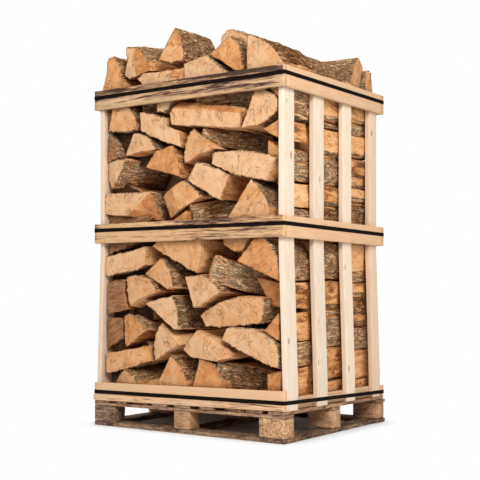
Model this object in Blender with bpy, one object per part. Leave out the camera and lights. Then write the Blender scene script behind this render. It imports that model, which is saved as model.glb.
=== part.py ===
"""Pallet of firewood: a block pallet, a slatted crate, three straps and a stack of split logs.

Metres, +Z up. The origin is on the ground, under the middle of the pallet. The pallet's length
runs along X, and the crate's open front, where the ends of the logs show, faces -Y.
"""

import math

import bmesh
import bpy

# Footprint, and the clearance that keeps touching faces apart.
LENGTH = 1.2
DEPTH = 1.0
GAP = 0.0003
EDGE = 0.0015

# The pallet, from the ground up.
BASE_HEIGHT = 0.023
BASE_WIDTH = 0.100
BLOCK_HEIGHT = 0.094
BLOCK_DEPTH = 0.083
STRINGER_HEIGHT = 0.016
DECK_HEIGHT = 0.018
BLOCK_COLUMNS = {"left": (-0.600, -0.455), "middle": (-0.060, 0.040), "right": (0.455, 0.600)}
BLOCK_ROWS = {"front": -0.500, "middle": -0.057, "back": 0.417}
# Each deck board's low and high X. Two of them stop short of the front edge.
DECK_BOARDS = (
    (-0.600, -0.506),
    (-0.476, -0.382),
    (-0.352, -0.247),
    (-0.207, -0.106),
    (-0.061, 0.039),
    (0.098, 0.192),
    (0.244, 0.357),
    (0.375, 0.468),
    (0.505, 0.600),
)
SET_BACK_BOARDS = (2, 6)
SET_BACK = 0.014
# The front foot rail sticks out at -X, and the back base board and stringer stick out at +X.
OVERHANG = 0.008

# Nothing is quite level. Each pair says how much lower a thing lies at -X and at the back: the
# blocks are worn, the deck boards are thinner towards -X, and the rings and straps hang askew.
BLOCK_FALL = (0.012, 0.009)
DECK_FALL = (0.021, 0.009)
MIDDLE_FALL = (0.005, 0.013)
STRAP_FALLS = {"foot": (0.0145, 0.0285), "middle": (0.0, 0.015), "top": (0.0, 0.0)}

# The crate's rails, as the low and high Z of each ring.
RAIL_THICKNESS = 0.022
FOOT_LOWER_RAIL = (0.1522, 0.1860)
FOOT_UPPER_RAIL = (0.1863, 0.2470)
FOOT_SIDE_RAIL = (0.1522, 0.2080)
MIDDLE_RING = (0.968, 1.070)
TOP_RING = (1.671, 1.773)

# The crate's slats. Each stands outside the foot's side rail and inside the rails higher up.
SLAT_THICKNESS = 0.027
SLAT_SPANS = ((-0.4777, -0.380), (-0.200, -0.103), (0.090, 0.179), (0.376, 0.457))
SLAT_TOP = 1.756
BEND_LOW = 0.262
BEND_HIGH = 0.930

# The straps, one round each ring, as the height of each one's middle.
STRAP_WIDTH = 0.019
STRAP_THICKNESS = 0.001
STRAP_CORNER = 0.002
STRAP_CORNER_STEPS = 4
STRAP_HEIGHTS = {"foot": 0.192, "middle": 1.032, "top": 1.736}

# The stack: three rows of logs, one behind the other, each in two tiers with a heap on top.
STACK_HALF_LENGTH = 0.5500
STACK_HALF_DEPTH = 0.4740
TIER_SPLIT = 0.985
HEAP_FOOT = 1.700
ROW_NAMES = ("front", "centre", "back")
# Each row's heap, as X and Z along its top from -X to +X. Above the slats it may lean out further.
HEAP_TOPS = (
    (
        (-0.550, 1.759), (-0.575, 1.760), (-0.575, 1.800), (-0.505, 1.954), (-0.435, 1.955),
        (-0.400, 2.032), (-0.330, 2.030), (-0.240, 1.945), (-0.190, 1.900), (-0.105, 2.045),
        (-0.055, 2.045), (0.000, 1.890), (0.110, 1.890), (0.140, 1.985), (0.190, 2.015),
        (0.365, 1.966), (0.465, 1.922), (0.545, 1.845), (0.575, 1.795), (0.575, 1.760),
        (0.550, 1.759),
    ),
    (
        (-0.550, 1.865), (-0.490, 1.905), (-0.350, 1.880), (-0.270, 1.940), (-0.150, 1.890),
        (-0.090, 1.930), (0.090, 1.900), (0.210, 1.930), (0.330, 1.880), (0.370, 1.965),
        (0.465, 1.915), (0.545, 1.805), (0.550, 1.770),
    ),
    (
        (-0.550, 1.759), (-0.575, 1.760), (-0.575, 1.800), (-0.505, 1.949), (-0.430, 1.920),
        (-0.395, 1.988), (-0.320, 1.985), (-0.240, 1.900), (-0.190, 1.895), (-0.105, 2.045),
        (-0.055, 2.045), (0.000, 1.890), (0.110, 1.890), (0.190, 1.950), (0.280, 1.975),
        (0.480, 1.975), (0.550, 1.940),
    ),
)  # fmt: skip

BLOCK_BOTTOM = BASE_HEIGHT + GAP
STRINGER_BOTTOM = BLOCK_BOTTOM + BLOCK_HEIGHT + GAP
DECK_BOTTOM = STRINGER_BOTTOM + STRINGER_HEIGHT + GAP
DECK_MIDDLE = DECK_BOTTOM + DECK_HEIGHT / 2
FRONT = -DEPTH / 2
BACK = DEPTH / 2
LEFT = -LENGTH / 2
RIGHT = LENGTH / 2
RAIL_INNER_Y = BACK - RAIL_THICKNESS
RAIL_INNER_X = RIGHT - RAIL_THICKNESS
# Below this height a piece stands on the pallet's sloping deck and follows it.
FOOT_TOP = 0.250


def clear_scene():
    for thing in list(bpy.data.objects):
        bpy.data.objects.remove(thing)


def finish_of(name, colour, roughness):
    """A plain wood or plastic material of this colour."""
    material = bpy.data.materials.new(name)
    material.use_nodes = True
    shader = material.node_tree.nodes["Principled BSDF"]
    shader.inputs["Base Color"].default_value = (*colour, 1.0)
    shader.inputs["Roughness"].default_value = roughness
    return material


def level(_point):
    return 0.0


def leaning(falls):
    """Gives how far each point of a leaning thing lies lower than its front corner at +X does."""
    to_left, to_back = falls

    def fall(point):
        return to_left * (RIGHT - point.x) / LENGTH + to_back * (point.y - FRONT) / DEPTH

    return fall


def with_deck(point):
    """How far a point of the pallet, or of what stands on it, lies lower than on a level pallet."""
    if point.z > FOOT_TOP:
        return 0.0
    risen = min(max((point.z - BASE_HEIGHT) / BLOCK_HEIGHT, 0.0), 1.0)
    falls = DECK_FALL if point.z > DECK_MIDDLE else BLOCK_FALL
    return risen * leaning(falls)(point)


def piece_from(name, shape, material, fall):
    """An object from a bmesh given in place: its origin goes to the middle of its box."""
    for vert in shape.verts:
        vert.co.z -= fall(vert.co)
    bmesh.ops.recalc_face_normals(shape, faces=shape.faces)
    middle = [
        (min(v.co[i] for v in shape.verts) + max(v.co[i] for v in shape.verts)) / 2
        for i in range(3)
    ]
    bmesh.ops.translate(shape, verts=shape.verts, vec=[-value for value in middle])
    mesh = bpy.data.meshes.new(name)
    shape.to_mesh(mesh)
    shape.free()
    mesh.materials.append(material)
    piece = bpy.data.objects.new(name, mesh)
    piece.location = middle
    bpy.context.scene.collection.objects.link(piece)
    return piece


def add_bevel(piece):
    bevel = piece.modifiers.new("worn edges", "BEVEL")
    bevel.width = EDGE
    bevel.segments = 1
    bevel.limit_method = "ANGLE"


def board(name, along_x, along_y, along_z, material, fall=level):
    """A straight board that fills the box given by its low and high X, Y and Z."""
    shape = bmesh.new()
    bmesh.ops.create_cube(shape, size=1.0)
    for vert in shape.verts:
        for axis, (low, high) in enumerate((along_x, along_y, along_z)):
            vert.co[axis] = high if vert.co[axis] > 0 else low
    piece = piece_from(name, shape, material, fall)
    add_bevel(piece)
    return piece


def prism(name, outline, along_y, material, fall=level):
    """A solid with this outline of X and Z, drawn out along Y."""
    shape = bmesh.new()
    low, high = along_y
    near = shape.faces.new([shape.verts.new((x, low, z)) for x, z in outline])
    made = bmesh.ops.extrude_face_region(shape, geom=[near])
    moved = [item for item in made["geom"] if isinstance(item, bmesh.types.BMVert)]
    bmesh.ops.translate(shape, verts=moved, vec=(0.0, high - low, 0.0))
    return piece_from(name, shape, material, fall)


def make_pallet(wood, chipboard):
    """Five base boards, nine blocks, three stringers and nine deck boards."""
    base_z = (0.0, BASE_HEIGHT)
    inner_y = (FRONT + BASE_WIDTH + GAP, BACK - BASE_WIDTH - GAP)
    board("base_board_front", (LEFT, RIGHT), (FRONT, FRONT + BASE_WIDTH), base_z, wood)
    board("base_board_back", (LEFT, RIGHT + OVERHANG), (BACK - BASE_WIDTH, BACK), base_z, wood)
    board("base_board_left", (LEFT, LEFT + BASE_WIDTH), inner_y, base_z, wood)
    board("base_board_middle", BLOCK_COLUMNS["middle"], inner_y, base_z, wood)
    board("base_board_right", (RIGHT - BASE_WIDTH, RIGHT), inner_y, base_z, wood)
    block_z = (BLOCK_BOTTOM, BLOCK_BOTTOM + BLOCK_HEIGHT)
    stringer_z = (STRINGER_BOTTOM, STRINGER_BOTTOM + STRINGER_HEIGHT)
    for row, low in BLOCK_ROWS.items():
        block_y = (low, low + BLOCK_DEPTH)
        for column, block_x in BLOCK_COLUMNS.items():
            pressed = (row, column) == ("front", "right")
            board(
                f"block_{row}_{column}", block_x, block_y, block_z,
                chipboard if pressed else wood, with_deck,
            )  # fmt: skip
        stringer_x = (LEFT, RIGHT + OVERHANG * (row == "back"))
        board(f"stringer_{row}", stringer_x, block_y, stringer_z, wood, with_deck)
    deck_z = (DECK_BOTTOM, DECK_BOTTOM + DECK_HEIGHT)
    for index, deck_x in enumerate(DECK_BOARDS):
        deck_y = (FRONT + SET_BACK * (index in SET_BACK_BOARDS), BACK)
        board(f"deck_board_{index + 1}", deck_x, deck_y, deck_z, wood, with_deck)


def make_rails(weathered, fresh):
    """The foot's rails and the two rings above it."""
    front_y, back_y = (FRONT, -RAIL_INNER_Y), (RAIL_INNER_Y, BACK)
    full_x = (LEFT, RIGHT)
    askew = leaning(MIDDLE_FALL)
    lower_x = (LEFT - OVERHANG, RIGHT)
    board("foot_rail_front_lower", lower_x, front_y, FOOT_LOWER_RAIL, weathered, with_deck)
    board("foot_rail_front_upper", full_x, front_y, FOOT_UPPER_RAIL, fresh, with_deck)
    board("foot_rail_back", full_x, back_y, FOOT_SIDE_RAIL, fresh, with_deck)
    for side, rail_y in (("front", front_y), ("back", back_y)):
        board(f"middle_rail_{side}", full_x, rail_y, MIDDLE_RING, weathered, askew)
        board(f"top_rail_{side}", full_x, rail_y, TOP_RING, weathered)
    side_y = (-RAIL_INNER_Y + GAP, RAIL_INNER_Y - GAP)
    foot_outer = RIGHT - SLAT_THICKNESS - GAP
    for side, sign in (("left", -1), ("right", 1)):
        foot_x = sorted((sign * (foot_outer - RAIL_THICKNESS + GAP), sign * foot_outer))
        ring_x = sorted((sign * RAIL_INNER_X, sign * RIGHT))
        board(f"foot_rail_{side}", foot_x, side_y, FOOT_SIDE_RAIL, fresh, with_deck)
        board(f"middle_rail_{side}", ring_x, side_y, MIDDLE_RING, fresh, askew)
        board(f"top_rail_{side}", ring_x, side_y, TOP_RING, fresh)


def make_slats(fresh):
    """Four slats a side, bent slightly inward above the foot so that the upper rails hold them."""
    bottom = FOOT_LOWER_RAIL[0]
    upper_face = RAIL_INNER_X - GAP
    outer = ((RIGHT, bottom), (RIGHT, BEND_LOW), (upper_face, BEND_HIGH), (upper_face, SLAT_TOP))
    inner = [(x - SLAT_THICKNESS, z) for x, z in reversed(outer)]
    for side, sign in (("left", -1), ("right", 1)):
        outline = [(sign * x, z) for x, z in (*outer, *inner)]
        for index, along_y in enumerate(SLAT_SPANS):
            slat = prism(f"slat_{side}_{index + 1}", outline, along_y, fresh, with_deck)
            add_bevel(slat)


def rounded_loop(half_x, half_y, radius):
    """Corner points of a rectangle with round corners, counter-clockwise from above."""
    points = []
    for index, (sx, sy) in enumerate(((1, -1), (1, 1), (-1, 1), (-1, -1))):
        centre = (sx * (half_x - radius), sy * (half_y - radius))
        for step in range(STRAP_CORNER_STEPS + 1):
            turn = math.radians(-90 + 90 * (index + step / STRAP_CORNER_STEPS))
            points.append((centre[0] + radius * math.cos(turn), centre[1] + radius * math.sin(turn)))
    return points


def make_straps(plastic):
    """A flat band pulled tight round each ring."""
    inside = rounded_loop(RIGHT + GAP, BACK + GAP, STRAP_CORNER)
    reach = GAP + STRAP_THICKNESS
    outside = rounded_loop(RIGHT + reach, BACK + reach, STRAP_CORNER + STRAP_THICKNESS)
    for name, height in STRAP_HEIGHTS.items():
        shape = bmesh.new()
        rings = [
            [shape.verts.new((x, y, height + side * STRAP_WIDTH / 2)) for x, y in loop]
            for loop, side in ((inside, -1), (outside, -1), (outside, 1), (inside, 1))
        ]
        count = len(inside)
        for ring, following in zip(rings, rings[1:] + rings[:1]):
            for index in range(count):
                after = (index + 1) % count
                shape.faces.new((ring[index], ring[after], following[after], following[index]))
        strap = piece_from(f"strap_{name}", shape, plastic, leaning(STRAP_FALLS[name]))
        strap.data.shade_smooth()
        strap.data.set_sharp_from_angle(angle=math.radians(30))


def make_stack(firewood):
    """Each row of stacked logs as plain solids that reach the logs' tips."""
    row_depth = (2 * STACK_HALF_DEPTH - 2 * GAP) / 3
    low_x, high_x = -STACK_HALF_LENGTH, STACK_HALF_LENGTH
    for index, name in enumerate(ROW_NAMES):
        start = -STACK_HALF_DEPTH + index * (row_depth + GAP)
        row_y = (start, start + row_depth)
        lower_z = (FOOT_LOWER_RAIL[0], TIER_SPLIT - GAP)
        upper_z = (TIER_SPLIT, HEAP_FOOT - GAP)
        for tier, (low_z, high_z) in (("lower", lower_z), ("upper", upper_z)):
            outline = [(low_x, low_z), (high_x, low_z), (high_x, high_z), (low_x, high_z)]
            prism(f"logs_{name}_{tier}", outline, row_y, firewood, with_deck)
        heap = [(high_x, HEAP_FOOT), (low_x, HEAP_FOOT), *HEAP_TOPS[index]]
        prism(f"logs_{name}_heap", heap, row_y, firewood)


def main():
    clear_scene()
    pallet_wood = finish_of("pallet wood", (0.24, 0.15, 0.10), 0.85)
    chipboard = finish_of("pressed chip", (0.48, 0.30, 0.17), 0.9)
    weathered = finish_of("weathered softwood", (0.52, 0.33, 0.17), 0.75)
    fresh = finish_of("fresh softwood", (0.83, 0.62, 0.40), 0.6)
    plastic = finish_of("strapping", (0.012, 0.010, 0.010), 0.35)
    firewood = finish_of("firewood", (0.58, 0.33, 0.17), 0.8)
    make_pallet(pallet_wood, chipboard)
    make_rails(weathered, fresh)
    make_slats(fresh)
    make_straps(plastic)
    make_stack(firewood)


main()
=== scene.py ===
"""Looks for the pallet of firewood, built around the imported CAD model.

Metres, +Z up, with the frame's origin on the ground under the middle of the pallet. Every board,
log and nail head is a mesh of its own, and every material is made of nodes.
"""

import math
import re

import bpy
import numpy as np
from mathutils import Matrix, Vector


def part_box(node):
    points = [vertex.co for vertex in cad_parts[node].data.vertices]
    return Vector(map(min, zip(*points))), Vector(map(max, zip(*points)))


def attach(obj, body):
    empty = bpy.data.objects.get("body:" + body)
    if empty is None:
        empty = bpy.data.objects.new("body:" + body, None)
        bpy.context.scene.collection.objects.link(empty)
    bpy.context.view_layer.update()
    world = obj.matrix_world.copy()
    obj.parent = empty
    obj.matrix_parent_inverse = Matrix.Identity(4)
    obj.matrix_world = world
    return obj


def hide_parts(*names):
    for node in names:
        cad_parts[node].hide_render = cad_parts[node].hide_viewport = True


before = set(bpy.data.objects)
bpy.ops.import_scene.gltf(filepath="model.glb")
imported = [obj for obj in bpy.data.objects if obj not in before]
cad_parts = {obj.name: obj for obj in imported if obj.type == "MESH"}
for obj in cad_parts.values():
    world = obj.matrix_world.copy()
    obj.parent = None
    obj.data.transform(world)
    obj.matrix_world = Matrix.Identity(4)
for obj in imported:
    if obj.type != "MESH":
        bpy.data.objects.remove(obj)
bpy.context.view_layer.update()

CM = 0.01
SHARP_FROM = math.radians(48)

# ---- Noise and meshes ----


def lattice_value(cell, seed):
    """A repeatable value from 0 to 1 for each whole-number cell."""
    mixed = (cell[:, 0] * 73856093) ^ (cell[:, 1] * 19349663) ^ (cell[:, 2] * 83492791) ^ (seed * 26544357)
    mixed = ((mixed ^ (mixed >> 13)) * 1274126177) & 0xFFFFFFFF
    return ((mixed ^ (mixed >> 16)) & 0xFFFF) / 65535.0


def noise(points, seed):
    """Smooth value noise from 0 to 1 at each of these points, in cells of size 1."""
    low = np.floor(points).astype(np.int64)
    part = points - low
    part = part * part * (3.0 - 2.0 * part)
    total = np.zeros(len(points))
    for corner in range(8):
        step = np.array([corner & 1, (corner >> 1) & 1, corner >> 2])
        share = np.where(step == 1, part, 1.0 - part).prod(axis=1)
        total += share * lattice_value(low + step, seed)
    return total


def layered_noise(points, seed, octaves=2):
    """Value noise with finer and weaker layers added, still from 0 to 1."""
    total, whole = 0.0, 0.0
    for octave in range(octaves):
        weight = 0.5**octave
        total += weight * noise(points * 2.03**octave, seed + 31 * octave)
        whole += weight
    return total / whole


def loop_indices(count):
    """Each place round a closed loop, and the one after it."""
    here = np.arange(count)
    return here, (here + 1) % count


def strip_faces(count, rings):
    """Quads between neighbouring rings of a tube, with this many points in each ring."""
    here, after = loop_indices(count)
    near = np.arange(rings - 1)[:, None] * count
    far = near + count
    return np.stack([near + here, far + here, far + after, near + after], axis=2).reshape(-1, 4)


def facing_out(points, quads, triangles):
    """A closed tube's faces, turned over if they look in, by the sign of the volume they enclose."""
    a, b, c, d = (points[quads[:, column]] for column in range(4))
    centre = points.mean(axis=0)
    volume = (np.cross(a - centre, b - centre) * (c - centre)).sum()
    volume += (np.cross(a - centre, c - centre) * (d - centre)).sum()
    return (quads[:, ::-1], triangles[:, ::-1]) if volume < 0.0 else (quads, triangles)


def in_scene(name, data):
    """An object made of this data, in the scene."""
    made = bpy.data.objects.new(name, data)
    bpy.context.scene.collection.objects.link(made)
    return made


def new_piece(name, points, quads, triangles, materials, finishes, attributes, node=None):
    """A mesh object with named values at its vertices, in place of a CAD node if one is given.

    finishes has the index of each face's material, first for the quads and then for the triangles.
    """
    mesh = bpy.data.meshes.new(name)
    sizes = np.repeat([4, 3], [len(quads), len(triangles)])
    corners = np.concatenate([quads.ravel(), triangles.ravel()])
    mesh.vertices.add(len(points))
    mesh.vertices.foreach_set("co", points.astype(np.float32).ravel())
    mesh.loops.add(len(corners))
    mesh.loops.foreach_set("vertex_index", corners.astype(np.int32))
    mesh.polygons.add(len(sizes))
    mesh.polygons.foreach_set("loop_start", (np.cumsum(sizes) - sizes).astype(np.int32))
    for material in materials:
        mesh.materials.append(material)
    mesh.polygons.foreach_set("material_index", finishes.astype(np.int32))
    mesh.update(calc_edges=True)
    mesh.validate()
    for label, values in attributes.items():
        kind, field = ("FLOAT_VECTOR", "vector") if values.ndim == 2 else ("FLOAT", "value")
        mesh.attributes.new(label, kind, "POINT").data.foreach_set(field, values.astype(np.float32).ravel())
    mesh.shade_smooth()
    mesh.set_sharp_from_angle(angle=SHARP_FROM)
    piece = in_scene(name, mesh)
    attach(piece, "root")
    if node:
        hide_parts(node)


# ---- Materials ----

ORIGIN = (0.0, 0.0, 0.0)


class Value:
    """A socket of a material's node, which can be added, taken away and multiplied like a number."""

    def __init__(self, finish, socket):
        self.finish = finish
        self.socket = socket

    def __add__(self, other):
        return self.finish.math("ADD", self, other)

    def __sub__(self, other):
        return self.finish.math("SUBTRACT", self, other)

    def __mul__(self, other):
        return self.finish.math("MULTIPLY", self, other)


class Finish:
    """A material whose nodes are added one call at a time. Each call gives back a Value."""

    def __init__(self, name):
        self.material = bpy.data.materials.new(name)
        self.material.use_nodes = True
        self.tree = self.material.node_tree
        self.tree.nodes.clear()
        self.shader = self.tree.nodes.new("ShaderNodeBsdfPrincipled")
        self.surface = self.tree.nodes.new("ShaderNodeOutputMaterial").inputs["Surface"]
        self.tree.links.new(self.shader.outputs["BSDF"], self.surface)

    def join(self, value, socket):
        """Links a Value to a socket, or sets a plain number or colour there."""
        if isinstance(value, Value):
            self.tree.links.new(value.socket, socket)
        elif isinstance(value, tuple) and socket.type == "RGBA":
            socket.default_value = (*value, 1.0)
        else:
            socket.default_value = value

    def node(self, kind, inputs, output=0, **settings):
        made = self.tree.nodes.new(kind)
        for label, value in settings.items():
            setattr(made, label, value)
        for label, value in inputs.items():
            self.join(value, made.inputs[label])
        return Value(self, made.outputs[output])

    def attribute(self, name, output="Vector"):
        return self.node("ShaderNodeAttribute", {}, output, attribute_name=name)

    def position(self):
        return self.node("ShaderNodeNewGeometry", {})

    def math(self, operation, first, second=0.0, clamp=False):
        return self.node("ShaderNodeMath", {0: first, 1: second}, operation=operation, use_clamp=clamp)

    def parts(self, vector):
        """The three numbers of a vector."""
        separate = self.node("ShaderNodeSeparateXYZ", {0: vector}).socket.node
        return [Value(self, socket) for socket in separate.outputs]

    def vector(self, operation, first, second=ORIGIN, output=0):
        return self.node("ShaderNodeVectorMath", {0: first, 1: second}, output, operation=operation)

    def length(self, vector):
        return self.vector("LENGTH", vector, output=1)

    def stretched(self, vector, factors):
        """The vector multiplied by a factor for each axis, of which the last counts for all that follow."""
        return self.vector("MULTIPLY", vector, (*factors, factors[-1])[:3])

    def noise(self, place, scale, detail=3.0, roughness=0.55, distortion=0.0):
        """Noise with this scale, or with one scale along the grain and another across it."""
        if isinstance(scale, tuple):
            place, scale = self.stretched(place, scale), 1.0
        inputs = {"Vector": place, "Scale": scale, "Detail": detail, "Roughness": roughness}
        return self.node("ShaderNodeTexNoise", {**inputs, "Distortion": distortion})

    def cell_gap(self, place, factors, grain, wander_scale, wander):
        """How far each point is from the nearest border between uneven cells."""
        drift = self.node("ShaderNodeTexNoise", {"Vector": grain, "Scale": wander_scale, "Detail": 2.0}, 1)
        cells = self.vector("ADD", self.stretched(place, factors), self.stretched(drift, (wander,) * 3))
        return self.node("ShaderNodeTexVoronoi", {"Vector": cells, "Scale": 1.0}, feature="DISTANCE_TO_EDGE")

    def range(self, value, low, high, to_low=0.0, to_high=1.0):
        """The value's share of the way from low to high, clamped, as a number between the other two."""
        inputs = {"Value": value, "From Min": low, "From Max": high, "To Min": to_low, "To Max": to_high}
        return self.node("ShaderNodeMapRange", inputs, interpolation_type="SMOOTHSTEP")

    def ramp(self, value, *stops):
        """A colour by this value. Each stop is a place followed by the colour there."""
        colour = self.node("ShaderNodeValToRGB", {"Fac": value})
        points = colour.socket.node.color_ramp.elements
        while len(points) < len(stops):
            points.new(1.0)
        for point, (place, *shade) in zip(points, stops):
            point.position = place
            point.color = (*shade, 1.0)
        return colour

    def mix(self, share, first, second, blend="MIX"):
        inputs = {"Factor": share, 6: first, 7: second}
        return self.node("ShaderNodeMix", inputs, 2, data_type="RGBA", blend_type=blend)

    def scaled(self, colour, amount):
        """The colour multiplied by a number that varies over the surface."""
        return self.node("ShaderNodeVectorMath", {0: colour, "Scale": amount}, operation="SCALE")

    def openness(self):
        """How open each point is to its surroundings, from 0 deep in a gap to 1 in the open."""
        return self.node("ShaderNodeAmbientOcclusion", {"Distance": GAP_REACH}, 1, samples=4)

    def gap_shaded(self, colour, least=0.14):
        """The colour with painted shade in the gaps between pieces: darker and redder where little is open.
        """
        gap_shade_colour = self.mix(1.0, colour, (least * 1.25, least * 0.90, least * 0.72), "MULTIPLY")
        return self.mix(self.range(self.openness(), 0.10, 0.78, 1.0, 0.0), colour, gap_shade_colour)

    def finish(self, colour, roughness, height, depth, specular=0.3):
        self.join(colour, self.shader.inputs["Base Color"])
        self.join(roughness, self.shader.inputs["Roughness"])
        self.shader.inputs["Specular IOR Level"].default_value = specular
        if height:
            bump = self.node("ShaderNodeBump", {"Height": height, "Distance": depth, "Strength": 1.0})
            self.join(bump, self.shader.inputs["Normal"])
        return self.material


GAP_REACH = 0.04
# Small dark marks on log ends: each one's place in metres and its size.
END_MARKS = (
    ((0.048, -0.474, 0.914), 0.0040), ((0.340, -0.474, 1.3245), 0.0045), ((0.448, -0.474, 0.872), 0.0040),
)  # fmt: skip


def end_grain():
    """A log's sawn end: saw streaks, blotches, rings round the pith, and cracks out from it."""
    f = Finish("log end grain")
    grain = f.attribute("grain")
    warm, dullness_and_shade, luck = f.parts(f.attribute("tone"))
    turned = f.node("ShaderNodeVectorRotate", {"Vector": grain, "Angle": luck * 9.0}, rotation_type="X_AXIS")
    saw = f.noise(turned, (30.0, 14.0, 110.0), 3.0, 0.6, 0.25)
    fuzz = f.noise(grain, 330.0, 3.0, 0.7)
    warmth = warm + f.range(f.noise(grain, 15.0, 4.0, 0.6), 0.3, 0.7, -0.22, 0.24)
    warmth = f.math("ADD", warmth, f.range(saw, 0.3, 0.7, -0.11, 0.11), clamp=True)
    colour = f.ramp(
        warmth, (0.0, 0.72, 0.435, 0.238), (0.35, 0.69, 0.365, 0.17), (0.68, 0.63, 0.29, 0.108),
        (1.0, 0.49, 0.185, 0.058),
    )  # fmt: skip
    colour = f.scaled(colour, f.range(fuzz, 0.3, 0.7, 0.88, 1.08))
    across = f.stretched(grain, (0.0, 1.0))
    radius = f.length(across) + f.noise(grain, 18.0, 2.0) * 0.012
    colour = f.scaled(colour, f.range(f.math("SINE", radius * 1300.0), -1.0, 1.0, 0.965, 1.02))
    heading = f.stretched(f.vector("NORMALIZE", across), (0.0, 3.4))
    spokes = f.vector("ADD", heading, f.node("ShaderNodeCombineXYZ", {"X": radius * 9.0 + luck * 40.0}))
    crack = f.math("ABSOLUTE", f.noise(spokes, 1.0, 2.0, 0.5) - 0.5)
    crack = f.range(crack, 0.0, 0.022, 1.0, 0.0) * f.range(f.noise(grain, 12.0, 2.0), 0.47, 0.55)
    gap = f.cell_gap(turned, (12.0, 26.0, 80.0), grain, 45.0, 1.5)
    hair = f.range(gap, 0.0, 0.05, 1.0, 0.0) * f.range(f.noise(grain, 13.0, 2.0), 0.52, 0.62)
    lines = f.math("MAXIMUM", crack, hair)
    colour = f.mix(lines * 0.66, colour, (0.22, 0.082, 0.027))
    # The dark ragged rim round each end: partly torn fibres and bark there, partly painted shade of the gap
    # round the log.
    ragged = f.attribute("edge", "Fac") + (f.noise(grain, 120.0, 2.0) - 0.5) * 0.012
    colour = f.mix(f.range(ragged, 0.0006, 0.0052, 0.92, 0.0), colour, (0.14, 0.050, 0.018))
    # Dirt dulls the ends of dull logs; at the full share the ends turn nearly black, as painted shade for
    # logs deep in the gaps.
    dirt_and_shade = f.mix(f.range(saw, 0.36, 0.62), (0.26, 0.115, 0.050), (0.055, 0.022, 0.010))
    colour = f.scaled(f.mix(dullness_and_shade * 0.9, colour, dirt_and_shade), f.range(dullness_and_shade, 0.85, 1.0, 1.0, 0.28))
    for point, size in END_MARKS:
        span = f.length(f.vector("SUBTRACT", f.position(), point)) + (fuzz - 0.5) * size
        colour = f.mix(f.range(span, size * 0.5, size * 1.5, 0.85, 0.0), colour, (0.06, 0.022, 0.009))
    height = f.noise(grain, 30.0, 2.0) * 4.0 + fuzz * 0.35 - lines * 0.8
    return f.finish(f.gap_shaded(colour), 0.86, height, 0.0022, 0.18)


def split_wood():
    """A cleft face: torn fibres along the log, blotched from pale to red-brown, with dark specks."""
    f = Finish("log split face")
    grain = f.attribute("grain")
    warm, dullness_and_shade, luck = f.parts(f.attribute("tone"))
    fibres = f.noise(grain, (24.0, 300.0), 4.0, 0.65, 0.3)
    bands = f.noise(grain, (8.0, 32.0), 3.0, 0.6, 0.5)
    specks = f.noise(grain, (70.0, 150.0), 3.0, 0.7)
    patches = f.noise(grain, (11.0, 17.0))
    level = bands * 0.62 + fibres * 0.38 + f.range(luck, 0.0, 1.0, -0.05, 0.07)
    level -= f.range(warm, 0.0, 1.0, -0.04, 0.06)
    colour = f.ramp(
        level, (0.33, 0.13, 0.040, 0.013), (0.40, 0.38, 0.133, 0.041), (0.46, 0.64, 0.280, 0.092),
        (0.54, 0.79, 0.41, 0.165), (0.68, 0.85, 0.53, 0.27),
    )  # fmt: skip
    colour = f.mix(f.range(patches, 0.54, 0.66, 0.0, 0.50), colour, (0.52, 0.21, 0.075))
    colour = f.mix(f.range(specks, 0.58, 0.66, 0.0, 0.75), colour, (0.085, 0.030, 0.012))
    colour = f.mix(f.range(specks, 0.34, 0.43, 0.55, 0.0), colour, (0.76, 0.50, 0.28))
    # Painted shade: deep in the gaps the split face turns to darker, redder specks.
    gap_shade_specks = f.ramp(specks, (0.38, 0.84, 0.42, 0.16), (0.47, 0.54, 0.185, 0.050), (0.56, 0.10, 0.031, 0.010))
    colour = f.mix(f.range(f.openness(), 0.32, 0.94, 0.85, 0.0), colour, gap_shade_specks)
    # Painted shade: split faces of logs deep in the gaps are darkened.
    colour = f.scaled(colour, f.range(dullness_and_shade, 0.85, 1.0, 1.0, 0.7))
    return f.finish(f.gap_shaded(colour), 0.82, fibres + bands + specks * -0.5, 0.0022, 0.2)


def bark():
    """Furrowed bark: dark furrows, brown plates with pale flecks, and moss by the log's own share."""
    f = Finish("bark")
    grain = f.attribute("grain")
    light, moss, red = f.parts(f.attribute("rind"))
    gap = f.cell_gap(grain, (36.0, 92.0), grain, 60.0, 2.2)
    wave = f.math("ABSOLUTE", f.noise(grain, (12.0, 74.0), 3.0, 0.6, 0.5) - 0.5)
    furrow = f.math("MAXIMUM", f.range(wave, 0.0, 0.085, 1.0, 0.0), f.range(gap, 0.02, 0.20, 0.8, 0.0))
    flakes = f.noise(grain, (48.0, 190.0), 3.0, 0.66, 0.4)
    # Low relief is darker: partly the bark's own colour in its hollows, partly painted shade.
    level = f.attribute("relief", "Fac") * 0.42 + flakes * 0.60 + f.range(light, 0.0, 1.0, -0.08, 0.20)
    colour = f.ramp(
        level, (0.27, 0.080, 0.028, 0.010), (0.36, 0.28, 0.118, 0.043), (0.45, 0.48, 0.236, 0.095),
        (0.53, 0.66, 0.362, 0.168), (0.66, 0.88, 0.615, 0.345),
    )  # fmt: skip
    blush = f.mix(1.0, colour, (1.18, 0.90, 0.78), "MULTIPLY")
    colour = f.mix(red * f.range(f.noise(grain, 15.0, 2.0), 0.38, 0.6), colour, blush)
    growth = f.noise(grain, 34.0, 4.0, 0.72) + moss * 0.15
    lichen = f.ramp(flakes, (0.38, 0.12, 0.062, 0.028), (0.49, 0.42, 0.260, 0.120), (0.60, 0.80, 0.62, 0.38))
    colour = f.mix(f.range(growth, 0.61, 0.72, 0.0, 0.75), colour, lichen)
    # Furrows darken: partly the bark's own darker colour there, partly painted shade.
    colour = f.scaled(colour, f.range(furrow, 0.15, 1.0, 1.04, 0.26))
    return f.finish(f.gap_shaded(colour, 0.44), 0.93, flakes - furrow, 0.0045, 0.05)


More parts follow.
